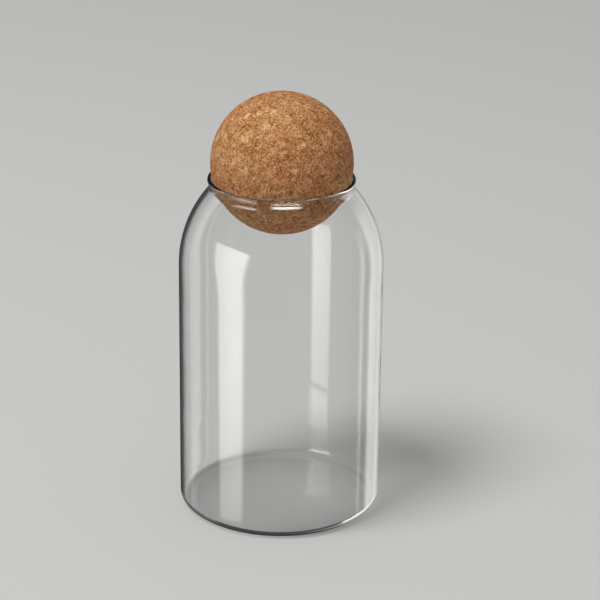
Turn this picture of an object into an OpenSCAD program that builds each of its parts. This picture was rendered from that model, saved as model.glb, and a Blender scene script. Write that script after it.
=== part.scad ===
// Storage jar of clear blown glass, closed by a whole cork ball that sits in its flared mouth.
// All lengths are in millimetres. The jar stands on z = 0, and its axis is the z axis.

/* [Jar] */
// Height from the table to the top of the lip
jar_h = 170; // [130:1:240]
// Outside diameter of the straight body
body_d = 100; // [90:1:130]
// Thickness of the glass wall
wall_t = 1.8; // [1.2:0.1:3]
// Outside radius of the round corner between body and base
corner_r = 5; // [3.5:0.5:15]
// Outside radius of the shoulder's long curve
shoulder_r = 58; // [30:1:90]

/* [Mouth] */
// Outside radius of the hollow between shoulder and flare
throat_r = 2.5; // [1:0.5:8]
// Length of the straight flare below the lip
flare_l = 3; // [1:0.5:8]
// How much thicker than the wall the fire-polished lip is
lip_swell = 0.4; // [0:0.1:1]

/* [Base] */
// Width of the flat ring that the jar stands on
foot_w = 3; // [1:0.5:8]
// How far the middle of the base is pushed up
base_rise = 1.8; // [0.5:0.1:5]
// Radius of the bend from the foot into the pushed-up base
base_bend_r = 30; // [10:5:100]

/* [Cork ball] */
// Diameter of the ball
ball_d = 69.2; // [55:0.1:85]
// Angle below the ball's widest line at which it meets the lip
seat_angle = 13.5; // [8:0.5:30]
// Clearance between ball and lip
seat_gap = 0.15; // [0.05:0.05:0.3]

/* [Hidden] */
$fa = 2;
$fs = 0.4;

half_wall = wall_t / 2;
body_mid_r = body_d / 2 - half_wall;
corner_mid_r = corner_r - half_wall;
shoulder_mid_r = shoulder_r - half_wall;
throat_mid_r = throat_r + half_wall;

// The lip is a round bead. The ball meets it seat_angle below the ball's widest line.
lip_r = (wall_t + lip_swell) / 2;
seat_reach = ball_d / 2 + seat_gap + lip_r;
lip_centre_r = seat_reach * cos(seat_angle);
lip_centre_z = jar_h - lip_r;
ball_z = lip_centre_z + seat_reach * sin(seat_angle);

// The flare leans outwards by seat_angle, so its inside lies along the ball.
// The shoulder leans inwards far enough to bring the lip to its radius.
shoulder_angle = acos(
    (lip_centre_r - body_mid_r + shoulder_mid_r
        + throat_mid_r * cos(seat_angle) - flare_l * sin(seat_angle))
    / (shoulder_mid_r + throat_mid_r)
);
throat_angle = shoulder_angle + seat_angle;
mouth_h = shoulder_mid_r * sin(shoulder_angle)
    + throat_mid_r * (sin(shoulder_angle) + sin(seat_angle))
    + flare_l * cos(seat_angle);
body_straight_h = lip_centre_z - mouth_h - corner_r;

// Two bends carry the base from its raised middle down to the flat foot.
foot_inner_r = body_d / 2 - corner_r - foot_w;
base_angle = 2 * atan(base_rise / foot_inner_r);
base_mid_r = foot_inner_r / sin(base_angle) - base_bend_r;

// A straight stretch of wall along +Y. What follows it starts at its end.
module straight(length) {
    translate([-half_wall, 0]) square([wall_t, length]);
    translate([0, length]) children();
}

// A bent stretch of wall that starts along +Y. A positive angle turns it to the left, a negative one
// to the right, and mid_r is the radius of its middle line. What follows it starts at its end.
module bend(mid_r, angle) {
    side = sign(angle);
    reach = 2 * mid_r + wall_t;
    translate([-side * mid_r, 0]) {
        intersection() {
            difference() {
                circle(r = mid_r + half_wall);
                circle(r = mid_r - half_wall);
            }
            translate([-reach, 0]) square([2 * reach, reach]);
            rotate(angle) translate([-reach, -reach]) square([2 * reach, reach]);
        }
        rotate(angle) translate([side * mid_r, 0]) children();
    }
}

// Half of the jar's section, as one unbroken wall from the middle of the base to the lip
module wall_section() {
    translate([0, base_rise + half_wall]) rotate(-90)
        bend(base_mid_r, -base_angle)
        bend(base_bend_r, base_angle)
        straight(foot_w)
        bend(corner_mid_r, 90)
        straight(body_straight_h)
        bend(shoulder_mid_r, shoulder_angle)
        bend(throat_mid_r, -throat_angle)
        straight(flare_l)
        circle(r = lip_r);
}

module glass_jar() {
    color([0.82, 0.9, 0.88, 0.4]) rotate_extrude() wall_section();
}

module cork_ball() {
    color([0.83, 0.66, 0.47]) translate([0, 0, ball_z]) sphere(d = ball_d);
}

glass_jar();
cork_ball();
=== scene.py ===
"""Looks of a clear glass storage jar closed by a cork ball.

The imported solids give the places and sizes. Each is dressed with a finer mesh of the same shape.
Objects are in metres. The jar's section, the ball's relief and names that end in _MM are in
millimetres. The jar's axis is the z axis.
"""

import itertools
import math

import bpy
import numpy as np
from mathutils import Matrix, Vector

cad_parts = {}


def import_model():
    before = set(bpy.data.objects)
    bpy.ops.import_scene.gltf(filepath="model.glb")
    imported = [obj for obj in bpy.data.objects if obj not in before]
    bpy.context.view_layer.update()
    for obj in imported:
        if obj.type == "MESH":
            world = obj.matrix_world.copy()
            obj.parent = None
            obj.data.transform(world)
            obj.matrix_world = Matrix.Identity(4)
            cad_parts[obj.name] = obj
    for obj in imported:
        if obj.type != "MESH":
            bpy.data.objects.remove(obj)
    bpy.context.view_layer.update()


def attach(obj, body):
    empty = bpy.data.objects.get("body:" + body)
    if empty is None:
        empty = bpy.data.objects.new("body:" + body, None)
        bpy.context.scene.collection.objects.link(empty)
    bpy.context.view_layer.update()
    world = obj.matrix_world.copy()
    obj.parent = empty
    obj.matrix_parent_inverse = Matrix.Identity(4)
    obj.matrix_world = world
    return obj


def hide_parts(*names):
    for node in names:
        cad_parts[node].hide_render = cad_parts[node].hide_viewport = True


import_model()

MM = 0.001

# The jar's sizes, as in the solid
JAR_H_MM = 170
BODY_D_MM = 100
WALL_MM = 1.8
CORNER_R_MM = 5
SHOULDER_R_MM = 58
THROAT_R_MM = 2.5
FLARE_L_MM = 3
LIP_SWELL_MM = 0.4
FOOT_W_MM = 3
BASE_RISE_MM = 1.8
BASE_BEND_R_MM = 30

# The cork ball's sizes, as in the solid
BALL_D_MM = 69.2
SEAT_ANGLE = math.radians(13.5)
SEAT_GAP_MM = 0.15


def linear(hex_colour):
    """Linear red, green, blue and alpha of an sRGB hex colour."""
    parts = [int(hex_colour[i : i + 2], 16) / 255 for i in (1, 3, 5)]
    return (*(p / 12.92 if p <= 0.04045 else ((p + 0.055) / 1.055) ** 2.4 for p in parts), 1)


def add(tree, kind, inputs=None, stops=(), **settings):
    """Add a shader node with its settings, and fill its inputs with values or other nodes' outputs."""
    node = tree.nodes.new("ShaderNode" + kind)
    for name, value in settings.items():
        setattr(node, name, value)
    for name, value in (inputs or {}).items():
        if isinstance(value, bpy.types.NodeSocket):
            tree.links.new(value, node.inputs[name])
        else:
            node.inputs[name].default_value = value
    for i, (place, hex_colour) in enumerate(stops):
        stop = node.color_ramp.elements[i] if i < 2 else node.color_ramp.elements.new(place)
        stop.position = place
        stop.color = linear(hex_colour)
    return node


def new_tree(owner):
    """The emptied node tree of a material or world."""
    owner.use_nodes = True
    owner.node_tree.nodes.clear()
    return owner.node_tree


def new_object(name, points, faces):
    """A smooth mesh object in the scene from points and faces."""
    mesh = bpy.data.meshes.new(name)
    mesh.from_pydata(np.asarray(points).tolist(), [], faces)
    mesh.polygons.foreach_set("use_smooth", [True] * len(mesh.polygons))
    made = bpy.data.objects.new(name, mesh)
    bpy.context.collection.objects.link(made)
    return made


# Jar wall

HALF_WALL = WALL_MM / 2
LIP_R = (WALL_MM + LIP_SWELL_MM) / 2
SEAT_REACH = BALL_D_MM / 2 + SEAT_GAP_MM + LIP_R
LIP_CENTRE_R = SEAT_REACH * math.cos(SEAT_ANGLE)
LIP_CENTRE_Z = JAR_H_MM - LIP_R
BALL_Z_MM = LIP_CENTRE_Z + SEAT_REACH * math.sin(SEAT_ANGLE)

AROUND = 240

# The bead swells out of the wall over this length, and is widest a little below its end
SWELL_LENGTH_MM = 1.6
LIP_TAPER_MM = 0.6
LIP_NARROWING_MM = 0.04

# The flare isn't quite straight, but hollow towards the outside by a hair
FLARE_HOLLOW_MM = 0.04

# Blown glass is never quite even: the inside wanders by hundredths of a millimetre. Each wave is its
# share of the height, its length over two pi and where it starts. Base, throat and lip stay even.
RIPPLE_MM = 0.02
RIPPLE_WAVES = ((1, 7.3, 0), (0.6, 3.1, 1.3))
EVEN_BASE_MM = 60
EVEN_MOUTH_MM = 8
RIPPLE_FADE_MM = 20


def wall_path():
    """The middle line of the wall from the base's middle to the lip: radius, height and heading."""
    body_mid_r = BODY_D_MM / 2 - HALF_WALL
    shoulder_mid_r = SHOULDER_R_MM - HALF_WALL
    throat_mid_r = THROAT_R_MM + HALF_WALL
    shoulder = math.acos(
        (
            LIP_CENTRE_R
            - body_mid_r
            + shoulder_mid_r
            + throat_mid_r * math.cos(SEAT_ANGLE)
            - FLARE_L_MM * math.sin(SEAT_ANGLE)
        )
        / (shoulder_mid_r + throat_mid_r)
    )
    mouth_h = (
        shoulder_mid_r * math.sin(shoulder)
        + throat_mid_r * (math.sin(shoulder) + math.sin(SEAT_ANGLE))
        + FLARE_L_MM * math.cos(SEAT_ANGLE)
    )
    foot_inner_r = BODY_D_MM / 2 - CORNER_R_MM - FOOT_W_MM
    base = 2 * math.atan(BASE_RISE_MM / foot_inner_r)
    base_mid_r = foot_inner_r / math.sin(base) - BASE_BEND_R_MM
    # Each run is its length, how far it turns to the left, and its number of steps
    runs = (
        (base_mid_r * base, -base, 20),
        (BASE_BEND_R_MM * base, base, 5),
        (FOOT_W_MM, 0, 3),
        ((CORNER_R_MM - HALF_WALL) * math.pi / 2, math.pi / 2, 16),
        (LIP_CENTRE_Z - mouth_h - CORNER_R_MM, 0, 36),
        (shoulder_mid_r * shoulder, shoulder, 30),
        (throat_mid_r * (shoulder + SEAT_ANGLE), -shoulder - SEAT_ANGLE, 14),
        (FLARE_L_MM, 0, 15),
    )
    r, z, heading = 0.0, BASE_RISE_MM + HALF_WALL, 0.0
    path = [(r, z, heading)]
    for length, turn, steps in runs:
        step = length / steps
        for _ in range(steps):
            middle = heading + turn / steps / 2
            chord = step if turn == 0 else 2 * length / turn * math.sin(turn / steps / 2)
            r += chord * math.cos(middle)
            z += chord * math.sin(middle)
            heading += turn / steps
            path.append((r, z, heading))
    return np.array(path)


def wall_section():
    """The outline of half the jar's section: outside up to the lip, round it, and down the inside."""
    r, z, heading = wall_path().T
    walked = np.concatenate([[0], np.cumsum(np.hypot(np.diff(r), np.diff(z)))])
    to_lip = walked[-1] - walked

    near_lip = np.clip((SWELL_LENGTH_MM - to_lip) / (SWELL_LENGTH_MM - LIP_TAPER_MM), 0, 1)
    half = HALF_WALL + (LIP_R - HALF_WALL) * near_lip**2 * (3 - 2 * near_lip)
    half -= LIP_NARROWING_MM * np.clip(1 - to_lip / LIP_TAPER_MM, 0, 1)

    up_flare = np.clip(1 - to_lip / FLARE_L_MM, 0, 1)
    hollow = FLARE_HOLLOW_MM * 4 * up_flare * (1 - up_flare)
    r, z = r - hollow * np.sin(heading), z + hollow * np.cos(heading)

    ripple = sum(share * np.sin(walked / length + start) for share, length, start in RIPPLE_WAVES)
    past_base = np.clip((walked - EVEN_BASE_MM) / RIPPLE_FADE_MM, 0, 1)
    before_mouth = np.clip((to_lip - EVEN_MOUTH_MM) / RIPPLE_FADE_MM, 0, 1)
    inner = half + RIPPLE_MM * ripple * past_base * before_mouth

    outside = np.column_stack([r + half * np.sin(heading), z - half * np.cos(heading)])
    inside = np.column_stack([r - inner * np.sin(heading), z + inner * np.cos(heading)])
    turn = np.linspace(0, math.pi, 19)[1:-1] + heading[-1] - math.pi / 2
    lip = np.column_stack([r[-1] + half[-1] * np.cos(turn), z[-1] + half[-1] * np.sin(turn)])
    return np.vstack([outside, lip, inside[::-1]])


def turned(section, around):
    """Points and faces of a section turned about the z axis. Its two ends lie on the axis."""
    angles = np.linspace(0, 2 * math.pi, around, endpoint=False)
    rings = section[1:-1]
    ring_points = np.stack(
        [
            np.outer(rings[:, 0], np.cos(angles)),
            np.outer(rings[:, 0], np.sin(angles)),
            np.repeat(rings[:, 1:], around, axis=1),
        ],
        axis=2,
    ).reshape(-1, 3)
    ends = np.array([(0, 0, section[0, 1]), (0, 0, section[-1, 1])])
    first, last = len(ring_points), len(ring_points) + 1
    top = (len(rings) - 1) * around
    faces = []
    for i in range(around):
        j = (i + 1) % around
        faces.append((first, j, i))
        faces.append((last, top + i, top + j))
        for ring in range(0, top, around):
            faces.append((ring + i, ring + j, ring + around + j, ring + around + i))
    return np.vstack([ring_points, ends]), faces


# Cork ball

BALL_CENTRE = Vector((0, 0, BALL_Z_MM * MM))
BALL_CUTS = 126

# Each granule lies up to a step below the turned ball. Seams and pits are deeper.
RELIEF_GRANULE_MM = 2.4
GRANULE_STEP_MM = 0.05
SEAM_DEPTH_MM = 0.07
PIT_SPACING_MM = 4.2
PIT_DEPTH_MM = 0.32

# The pattern of cells repeats after this many, and the ball's centre lies at this cell in it
CELL_TABLE = 40
CELL_PLACE = 60


def cells(points, seed):
    """For points in cell units: distances to the nearest two cell centres, and the nearest's number."""
    table = np.random.default_rng(seed).random((CELL_TABLE, CELL_TABLE, CELL_TABLE, 4))
    home = np.floor(points).astype(int)
    nearest = np.full(len(points), 9.0)
    second = np.full(len(points), 9.0)
    number = np.zeros(len(points))
    for step in itertools.product((-1, 0, 1), repeat=3):
        corner = home + step
        drawn = table[tuple((corner % CELL_TABLE).T)]
        distance = np.linalg.norm(points - corner - drawn[:, :3], axis=1)
        closer = distance < nearest
        second = np.where(closer, nearest, np.minimum(second, distance))
        number = np.where(closer, drawn[:, 3], number)
        nearest = np.minimum(nearest, distance)
    return nearest, second, number


def sphere_grid(cuts):
    """Unit directions and faces of a cube's grid blown up to a sphere, with nearly even cells."""
    steps = np.tan(np.linspace(-math.pi / 4, math.pi / 4, cuts + 1))
    a, b = np.meshgrid(steps, steps, indexing="ij")
    one = np.ones_like(a)
    sides = [(one, a, b), (-one, b, a), (b, one, a), (a, -one, b), (a, b, one), (b, a, -one)]
    points = np.vstack([np.stack(side, axis=2).reshape(-1, 3) for side in sides])
    points, where = np.unique(np.round(points, 9), axis=0, return_inverse=True)
    where = where.reshape(6, cuts + 1, cuts + 1)
    corners = [where[:, :-1, :-1], where[:, 1:, :-1], where[:, 1:, 1:], where[:, :-1, 1:]]
    faces = np.stack(corners, axis=3).reshape(-1, 4).tolist()
    return points / np.linalg.norm(points, axis=1, keepdims=True), faces


def cork_relief(directions):
    """How deep the surface lies below the turned ball, in mm, and how much of a pit each point is."""
    places = directions * BALL_D_MM / 2
    warp = 0.35 * np.sin(places[:, [1, 2, 0]] * 1.9 + places[:, [2, 0, 1]] * 1.3)
    nearest, second, number = cells(places / RELIEF_GRANULE_MM + warp + CELL_PLACE, 3)
    seam = np.clip(1 - (second - nearest) / 0.16, 0, 1)
    depth = GRANULE_STEP_MM * number + SEAM_DEPTH_MM * seam * (0.3 + number)
    # About a third of the cells has no pit
    nearest, _, number = cells(places / PIT_SPACING_MM + warp * 0.5 + CELL_PLACE, 11)
    size = 0.09 + 0.13 * number
    pit = np.clip(1 - nearest / size, 0, 1) * (number > 0.35)
    pit = pit * pit * (3 - 2 * pit)
    return depth + PIT_DEPTH_MM * pit, pit


def cork_mesh():
    """The ball with its relief. Its points know how much of a pit they are."""
    directions, faces = sphere_grid(BALL_CUTS)
    depth, pit = cork_relief(directions)
    points = directions * (BALL_D_MM / 2 - depth)[:, None] * MM + np.array(BALL_CENTRE)
    ball = new_object("turned_cork_ball", points, faces)
    ball.data.attributes.new("pit", "FLOAT", "POINT").data.foreach_set("value", pit)
    return ball


# Materials

BOROSILICATE_IOR = 1.47

# How much of the light that meets the glass head on gets through one of its surfaces
HEAD_ON_SHARE = 0.96

# Sizes in the cork's colour. Real grain is finer than GRAIN_MM, and is drawn this coarse to show.
GRANULE_MM = 3.2
CRUMB_MM = 1.1
GRAIN_MM = 0.8
RAGGED_EDGE_MM = 1.3
RAGGED_REACH_MM = 1.2
FLECK_SPACING_MM = 0.9
SEAM_SPACING_MM = 1.6
SEAM_PATCH_MM = 2.6
# The size of the redder and yellower areas, which also carry painted shade
TONE_AND_SHADE_AREA_MM = 24
GRAIN_DEPTH_MM = 0.15


def blown_borosilicate_glass():
    """Clear borosilicate blown by machine: smooth on both sides, with no colour of its own.

    Lamps shine through it and leave a faint shadow, not a solid one.
    """
    material = bpy.data.materials.new("blown borosilicate glass")
    tree = new_tree(material)
    glass = add(
        tree,
        "BsdfPrincipled",
        {
            "Base Color": linear("#ffffff"),
            "Roughness": 0.0,
            "IOR": BOROSILICATE_IOR,
            "Transmission Weight": 1.0,
        },
    )
    # Light that grazes the wall is sent back, so the jar's shadow is darkest along its edges
    grazing = add(tree, "LayerWeight", {"Blend": 0.5}).outputs["Facing"]
    sent_back = add(tree, "Math", {0: grazing, 1: 5}, operation="POWER")
    let_through = add(
        tree,
        "Math",
        {0: sent_back.outputs[0], 1: -HEAD_ON_SHARE, 2: HEAD_ON_SHARE},
        operation="MULTIPLY_ADD",
    )
    lit_through = add(tree, "BsdfTransparent", {"Color": let_through.outputs[0]})
    path = add(tree, "LightPath")
    lighting = add(
        tree,
        "Math",
        {0: path.outputs["Is Shadow Ray"], 1: path.outputs["Is Diffuse Ray"]},
        operation="MAXIMUM",
    )
    mix = add(
        tree,
        "MixShader",
        {0: lighting.outputs[0], 1: glass.outputs[0], 2: lit_through.outputs[0]},
    )
    add(tree, "OutputMaterial", {"Surface": mix.outputs[0]})
    return material


def ragged_place(tree, place):
    """The place, shaken so that what is looked up by it has ragged edges."""
    shake = add(
        tree, "TexNoise", {"Vector": place, "Scale": 1 / (RAGGED_EDGE_MM * MM), "Detail": 3.0}
    )
    centred = add(
        tree, "VectorMath", {0: shake.outputs["Color"], 1: (0.5, 0.5, 0.5)}, operation="SUBTRACT"
    )
    reach = (RAGGED_REACH_MM * MM,) * 3
    shaken = add(
        tree, "VectorMath", {0: centred.outputs[0], 1: reach, 2: place}, operation="MULTIPLY_ADD"
    )
    return shaken.outputs[0]


def granule_colour(tree, ragged, grain):
    """The colour of granules of 2 to 4 mm, crumbs of about 1 mm and grain, and how pale a granule is."""
    granules = add(tree, "TexVoronoi", {"Vector": ragged, "Scale": 1 / (GRANULE_MM * MM)})
    crumbs = add(tree, "TexVoronoi", {"Vector": ragged, "Scale": 1 / (CRUMB_MM * MM)})
    granule = add(tree, "SeparateColor", {0: granules.outputs["Color"]})
    crumb = add(tree, "SeparateColor", {0: crumbs.outputs["Color"]})
    coarse_tone = add(
        tree, "Mix", {0: 0.55, 2: granule.outputs[0], 3: crumb.outputs[0]}, data_type="FLOAT"
    )
    grain_tone = add(tree, "MapRange", {0: grain, 1: 0.35, 2: 0.65})
    tone = add(
        tree,
        "Mix",
        {0: 0.45, 2: coarse_tone.outputs[0], 3: grain_tone.outputs[0]},
        data_type="FLOAT",
    )

    # A few granules are pale and clean, and so are some crumbs
    pale = add(tree, "MapRange", {0: granule.outputs[1], 1: 0.9, 2: 1.0}).outputs[0]
    bright = add(tree, "MapRange", {0: crumb.outputs[1], 1: 0.86, 2: 0.9}).outputs[0]
    for paler, share in ((pale, 0.22), (bright, 0.2)):
        tone = add(tree, "Math", {0: paler, 1: share, 2: tone.outputs[0]}, operation="MULTIPLY_ADD")

    colour = add(
        tree,
        "ValToRGB",
        {0: tone.outputs[0]},
        stops=(
            (0.2, "#a06c42"),
            (0.4, "#b88556"),
            (0.6, "#c8986a"),
            (0.8, "#d5aa80"),
            (1.0, "#e6c49d"),
        ),
    )
    return colour.outputs[0], pale


def bark_flecks(tree, place):
    """How much of a dark speck of bark each place is. The specks are 0.4 to 0.9 mm across."""
    flecks = add(tree, "TexVoronoi", {"Vector": place, "Scale": 1 / (FLECK_SPACING_MM * MM)})
    number = add(tree, "SeparateColor", {0: flecks.outputs["Color"]}).outputs[2]
    # A speck's radius, in shares of the spacing. Its middle is fully dark.
    radius = add(tree, "MapRange", {0: number, 1: 0.2, 2: 1.0, 3: 0.22, 4: 0.5}).outputs[0]
    return add(tree, "MapRange", {0: flecks.outputs["Distance"], 1: radius, 2: 0.14}).outputs[0]


def glue_seams(tree, place, ragged):
    """How much glue and bark darken the seams between granules, which they do here and there."""
    seams = add(
        tree,
        "TexVoronoi",
        {"Vector": ragged, "Scale": 1 / (SEAM_SPACING_MM * MM)},
        feature="DISTANCE_TO_EDGE",
    )
    seam = add(tree, "MapRange", {0: seams.outputs["Distance"], 1: 0.03, 2: 0.12, 3: 1.0, 4: 0.0})
    patches = add(
        tree, "TexNoise", {"Vector": place, "Scale": 1 / (SEAM_PATCH_MM * MM), "Detail": 1.0}
    )
    share = add(tree, "MapRange", {0: patches.outputs[0], 1: 0.44, 2: 0.62, 4: 0.8})
    return add(
        tree, "Math", {0: seam.outputs[0], 1: share.outputs[0]}, operation="MULTIPLY"
    ).outputs[0]


def turned_agglomerated_cork():
    """Cork granules pressed with glue, turned to a ball and left bare: speckled tan and quite matt."""
    material = bpy.data.materials.new("turned agglomerated cork")
    tree = new_tree(material)
    place = add(tree, "TexCoord").outputs["Object"]
    ragged = ragged_place(tree, place)
    grain = add(
        tree, "TexNoise", {"Vector": place, "Scale": 1 / (GRAIN_MM * MM), "Detail": 2.0}
    ).outputs[0]
    colour, pale = granule_colour(tree, ragged, grain)
    fleck = bark_flecks(tree, place)

    # Bark keeps off the pale granules. Each darkening is how much of it there is, and its colour: bark
    # specks and glue seams are the cork's own, and the darker colour in the pits is painted shade.
    clean = add(tree, "Math", {0: 1.0, 1: pale}, operation="SUBTRACT")
    bark = add(tree, "Math", {0: fleck, 1: clean.outputs[0]}, operation="MULTIPLY")
    stains_and_pit_shade = (
        (bark.outputs[0], "#4c2914"),
        (glue_seams(tree, place, ragged), "#5f341b"),
        # Painted shade: the pits are coloured darker, as if shade fell in them
        (add(tree, "Attribute", attribute_name="pit").outputs["Fac"], "#744828"),
    )
    for share, dark_colour in stains_and_pit_shade:
        darkened = add(tree, "Mix", {0: share, 6: colour, 7: linear(dark_colour)}, data_type="RGBA")
        colour = darkened.outputs[2]

    # Whole areas of the block are redder or yellower at random, which is the cork's own tone. The pattern
    # is also set so that the shaded right and lower side comes out redder and darker and the lit top and
    # left yellower, which is painted shade.
    tone_and_shade_noise = add(
        tree,
        "TexNoise",
        {"Vector": place, "W": 7.7, "Scale": 1 / (TONE_AND_SHADE_AREA_MM * MM), "Detail": 2.0},
        noise_dimensions="4D",
    )
    # Painted shade as well as tone: the darker, redder end of this tint lies on the ball's shaded side
    tone_and_shade_tint = add(tree, "ValToRGB", {0: tone_and_shade_noise.outputs[0]}, stops=((0.38, "#f7e1d4"), (0.62, "#fdf8ea")))
    tone_and_shade_colour = add(
        tree,
        "Mix",
        {0: 1.0, 6: colour, 7: tone_and_shade_tint.outputs[0]},
        data_type="RGBA",
        blend_type="MULTIPLY",
    )

    # Grain and bark lie a little below the surface, and the grain is duller or less so
    height = add(tree, "Math", {0: grain, 1: 0.5, 2: fleck}, operation="MULTIPLY_ADD")
    bump = add(
        tree,
        "Bump",
        {"Strength": 0.6, "Distance": GRAIN_DEPTH_MM * MM, "Height": height.outputs[0]},
        invert=True,
    )
    roughness = add(tree, "MapRange", {0: grain, 3: 0.78, 4: 0.95})
    cork = add(
        tree,
        "BsdfPrincipled",
        {
            "Base Color": tone_and_shade_colour.outputs[2],
            "Roughness": roughness.outputs[0],
            "IOR": 1.4,
            "Normal": bump.outputs[0],
        },
    )
    add(tree, "OutputMaterial", {"Surface": cork.outputs[0]})
    return material


# Pieces

glass_jar = new_object("blown_glass_jar", *turned(wall_section(), AROUND))
glass_jar.data.transform(Matrix.Scale(MM, 4))
glass_jar.data.materials.append(blown_borosilicate_glass())
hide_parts("glass_jar")
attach(glass_jar, "jar")

cork_ball = cork_mesh()
cork_ball.data.materials.append(turned_agglomerated_cork())
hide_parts("cork_ball")
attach(cork_ball, "lid")


# Studio

BACKGROUND = "#c6c6c4"
FLOOR_HALF_M = 6
ROOM_R_M = 3
ROOM_GLOW = 0.06
AMBIENT = 0.42

KEY_AZIMUTH = -55
KEY_DISTANCE_M = 1.3
KEY_HEIGHT_M = 2.8
KEY_SIZE_M = 1.1
KEY_WATTS = 65
KEY_AIM = Vector((0, 0, 0.12))

SOFTBOX_X = -0.23
REAR_LIGHTS_M = 0.9
REFLECTOR_M = 0.25

# How softly louvres cut off light that is too level, and too steep, as differences of the sine
LOUVRE_FADES = (0.04, 0.03)


def in_reflections_only(tree, shader, elsewhere):
    """Shows shader to rays that a mirror or glass surface has sent back, and elsewhere to the rest."""
    path = add(tree, "LightPath")
    mirrored = add(
        tree, "Math", {0: path.outputs["Glossy Depth"], 1: 0.5}, operation="GREATER_THAN"
    )
    mix = add(tree, "MixShader", {0: mirrored.outputs[0], 1: elsewhere, 2: shader})
    add(tree, "OutputMaterial", {"Surface": mix.outputs[0]})


def keep_to_reflections(thing):
    """Keep something out of the camera's sight and out of the lamps' light."""
    thing.visible_camera = False
    thing.visible_diffuse = False
    thing.visible_shadow = False


def floor():
    """Matt pale floor. Reflections look past it, so that panels below the table still show in the glass."""
    half = FLOOR_HALF_M
    points = [(-half, -half, 0), (half, -half, 0), (half, half, 0), (-half, half, 0)]
    plane = new_object("floor", points, [(0, 1, 2, 3)])
    material = bpy.data.materials.new("matt paper floor")
    tree = new_tree(material)
    paper = add(tree, "BsdfDiffuse", {"Color": linear(BACKGROUND)})
    clear = add(tree, "BsdfTransparent")
    in_reflections_only(tree, clear.outputs[0], paper.outputs[0])
    plane.data.materials.append(material)


def world():
    """Soft even light, and the background's colour wherever the camera or the glass looks."""
    sky = bpy.data.worlds.new("studio")
    bpy.context.scene.world = sky
    tree = new_tree(sky)
    path = add(tree, "LightPath")
    seen = path.outputs["Is Camera Ray"]
    for kind in ("Is Glossy Ray", "Is Transmission Ray"):
        seen = add(tree, "Math", {0: seen, 1: path.outputs[kind]}, operation="MAXIMUM").outputs[0]
    backdrop = add(tree, "Background", {"Color": linear(BACKGROUND), "Strength": 1.0})
    ambient = add(tree, "Background", {"Color": linear("#ffffff"), "Strength": AMBIENT})
    mix = add(tree, "MixShader", {0: seen, 1: ambient.outputs[0], 2: backdrop.outputs[0]})
    add(tree, "OutputWorld", {"Surface": mix.outputs[0]})


def dark_studio():
    """The unlit room round the jar, which only shows as a reflection in the glass."""
    directions, faces = sphere_grid(12)
    room = new_object("dark studio", directions * ROOM_R_M, faces)
    material = bpy.data.materials.new("unlit room")
    tree = new_tree(material)
    dark = add(tree, "Emission", {"Color": linear("#ffffff"), "Strength": ROOM_GLOW})
    clear = add(tree, "BsdfTransparent")
    in_reflections_only(tree, dark.outputs[0], clear.outputs[0])
    room.data.materials.append(material)
    keep_to_reflections(room)


def around_jar(azimuth, distance, z):
    """A point round the jar. Azimuth is in degrees from the camera's side, and positive to the right."""
    a = math.radians(azimuth)
    return Vector((math.sin(a) * distance, -math.cos(a) * distance, z))


def arc(distance, shares):
    """Feet of a panel bent round the jar, from pairs of an azimuth and the share of the glow there."""
    spots = [(around_jar(azimuth, distance, 0), share) for azimuth, share in shares]
    return [(spot.x, spot.y, 1, share) for spot, share in spots]


def glowing_panel(name, feet, up, strength, slopes=(0, 1)):
    """An upright panel that only shows as a reflection in the glass.

    It runs from foot to foot: x, y, how much taller or lower than up the panel is there, and the
    share of the glow there. up holds heights, the share of the glow there and how wide the panel
    is there. So its sides fade as a softbox's do. Louvres only let out light that rises or falls
    within slopes, given as the least and greatest sine.
    """
    points = []
    glow = []
    middle_x = (feet[0][0] + feet[-1][0]) / 2
    middle_y = (feet[0][1] + feet[-1][1]) / 2
    for x, y, tall, share in feet:
        for z, share_up, width in up:
            spot_x = middle_x + (x - middle_x) * width
            spot_y = middle_y + (y - middle_y) * width
            points.append((spot_x, spot_y, z * tall))
            glow.append(share * share_up)
    rows = len(up)
    corners = [i * rows + j for i in range(len(feet) - 1) for j in range(rows - 1)]
    panel = new_object(name, points, [(c, c + rows, c + rows + 1, c + 1) for c in corners])
    panel.data.attributes.new("glow", "FLOAT", "POINT").data.foreach_set("value", glow)

    material = bpy.data.materials.new(name)
    tree = new_tree(material)
    share = add(tree, "Attribute", attribute_name="glow").outputs["Fac"]
    towards_glass = add(tree, "NewGeometry").outputs["Incoming"]
    slope = add(tree, "SeparateXYZ", {0: towards_glass}).outputs["Z"]
    steep = add(tree, "Math", {0: slope}, operation="ABSOLUTE").outputs[0]
    least, greatest = slopes
    low = add(tree, "MapRange", {0: steep, 1: least - LOUVRE_FADES[0], 2: least})
    high = add(
        tree, "MapRange", {0: steep, 1: greatest, 2: greatest + LOUVRE_FADES[1], 3: strength, 4: 0}
    )
    let_out = add(tree, "Math", {0: low.outputs[0], 1: high.outputs[0]}, operation="MULTIPLY")
    power = add(tree, "Math", {0: share, 1: let_out.outputs[0]}, operation="MULTIPLY")
    light = add(tree, "Emission", {"Color": linear("#fffdf9"), "Strength": power.outputs[0]})
    clear = add(tree, "BsdfTransparent")
    # A fading panel doesn't hide what is behind it
    both = add(tree, "AddShader", {0: light.outputs[0], 1: clear.outputs[0]})
    in_reflections_only(tree, both.outputs[0], clear.outputs[0])
    panel.data.materials.append(material)
    keep_to_reflections(panel)


def key_lamp():
    """The square soft lamp that lights the jar from high on the left. The glass doesn't mirror it."""
    lamp = bpy.data.lights.new("key lamp", "AREA")
    lamp.shape = "SQUARE"
    lamp.size = KEY_SIZE_M
    lamp.energy = KEY_WATTS
    made = bpy.data.objects.new("key lamp", lamp)
    bpy.context.collection.objects.link(made)
    made.location = around_jar(KEY_AZIMUTH, KEY_DISTANCE_M, KEY_HEIGHT_M)
    towards = KEY_AIM - made.location
    made.rotation_euler = towards.to_track_quat("-Z", "Y").to_euler()
    made.visible_camera = False
    made.visible_transmission = False
    made.visible_glossy = False


floor()
world()
dark_studio()

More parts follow.
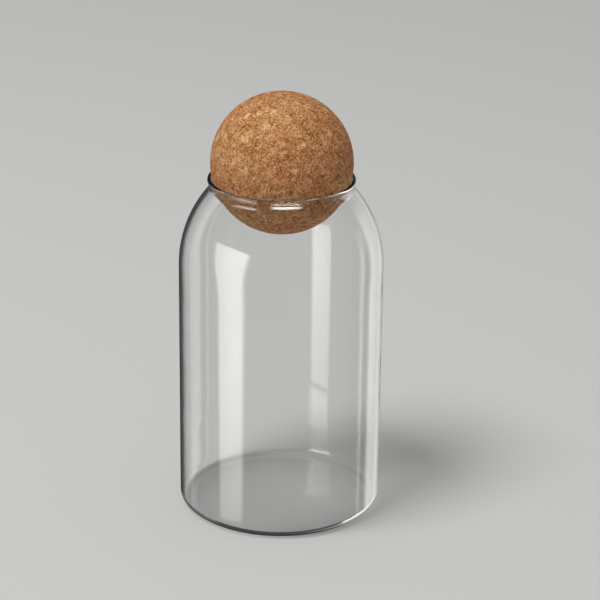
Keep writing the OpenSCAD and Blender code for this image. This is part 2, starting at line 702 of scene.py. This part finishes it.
# The jar's front shows this softbox on the left, and the inside of its back shows it on the right.
# It grows brighter towards the camera and then fades softly.
glowing_panel(
    "left softbox",
    (
        (SOFTBOX_X, -0.085, 0.9, 0),
        (SOFTBOX_X, -0.095, 0.9, 0.68),
        (SOFTBOX_X, -0.15, 0.99, 0.9),
        (SOFTBOX_X, -0.235, 1.12, 1.1),
        (SOFTBOX_X, -0.262, 1.16, 1),
        (SOFTBOX_X, -0.28, 1.18, 0.48),
        (SOFTBOX_X, -0.31, 1.2, 0),
    ),
    (
        (-0.16, 0, 0.85),
        (-0.1, 0.55, 0.9),
        (-0.02, 0.9, 0.95),
        (0.1, 1, 1),
        (0.22, 1.05, 1.4),
        (0.23, 0, 1.4),
    ),
    4.5,
    slopes=(0, 0.46),
)

# The jar's right side mirrors a line and a broad band of this light, and its left side two lines and
# a dim band of the next
glowing_panel(
    "right rear light",
    arc(
        REAR_LIGHTS_M,
        (
            (101, 0),
            (101.5, 1),
            (103, 1),
            (103.5, 0),
            (113, 0),
            (121, 1),
            (135, 0.7),
            (150, 0.4),
            (165, 0.25),
            (178, 0),
        ),
    ),
    ((-1.2, 1, 1), (0.2, 1, 1), (0.5, 0, 1)),
    1.5,
)
glowing_panel(
    "left rear light",
    arc(
        REAR_LIGHTS_M,
        (
            (-150, 0.1),
            (-120, 0.2),
            (-119, 1),
            (-118, 1),
            (-117, 0),
            (-113.5, 0),
            (-113, 1),
            (-112, 1),
            (-111.5, 0),
        ),
    ),
    ((-1.2, 1, 1), (0.6, 1, 1)),
    0.8,
)

# Only the flare under the lip mirrors this one, because it alone leans forward
glowing_panel(
    "front reflector",
    arc(REFLECTOR_M, ((-20, 0), (-9, 1), (24, 1), (38, 0))),
    ((-0.115, 0, 1), (-0.105, 1, 1), (0, 1, 1), (0.045, 0.3, 1), (0.05, 0, 1)),
    12.0,
    slopes=(0.66, 0.8),
)
key_lamp()

# Camera, fitted to the photograph's outline of the jar

CAMERA_PLACE = Vector((0, -1.09929, 0.54648))
CAMERA_AIM = Vector((0.00943, 0, 0.10624))
CAMERA_ROLL = math.radians(0.65)
LENS_MM = 144.49
SENSOR_MM = 36


def camera():
    """The scene's camera, turned to its aim and then rolled a little."""
    forward = (CAMERA_AIM - CAMERA_PLACE).normalized()
    right = forward.cross(Vector((0, 0, 1))).normalized()
    up = right.cross(forward)
    rolled = right * math.cos(CAMERA_ROLL) + up * math.sin(CAMERA_ROLL)
    up = rolled.cross(forward)
    made = bpy.data.objects.new("camera", bpy.data.cameras.new("camera"))
    made.data.lens = LENS_MM
    made.data.sensor_width = SENSOR_MM
    turn = Matrix((rolled, up, -forward)).transposed().to_4x4()
    made.matrix_world = Matrix.Translation(CAMERA_PLACE) @ turn
    bpy.context.collection.objects.link(made)
    bpy.context.scene.camera = made


camera()
scene = bpy.context.scene
scene.view_settings.view_transform = "Standard"
scene.cycles.caustics_reflective = False
scene.cycles.caustics_refractive = False
scene.cycles.max_bounces = 20
scene.cycles.transmission_bounces = 16
scene.cycles.glossy_bounces = 8
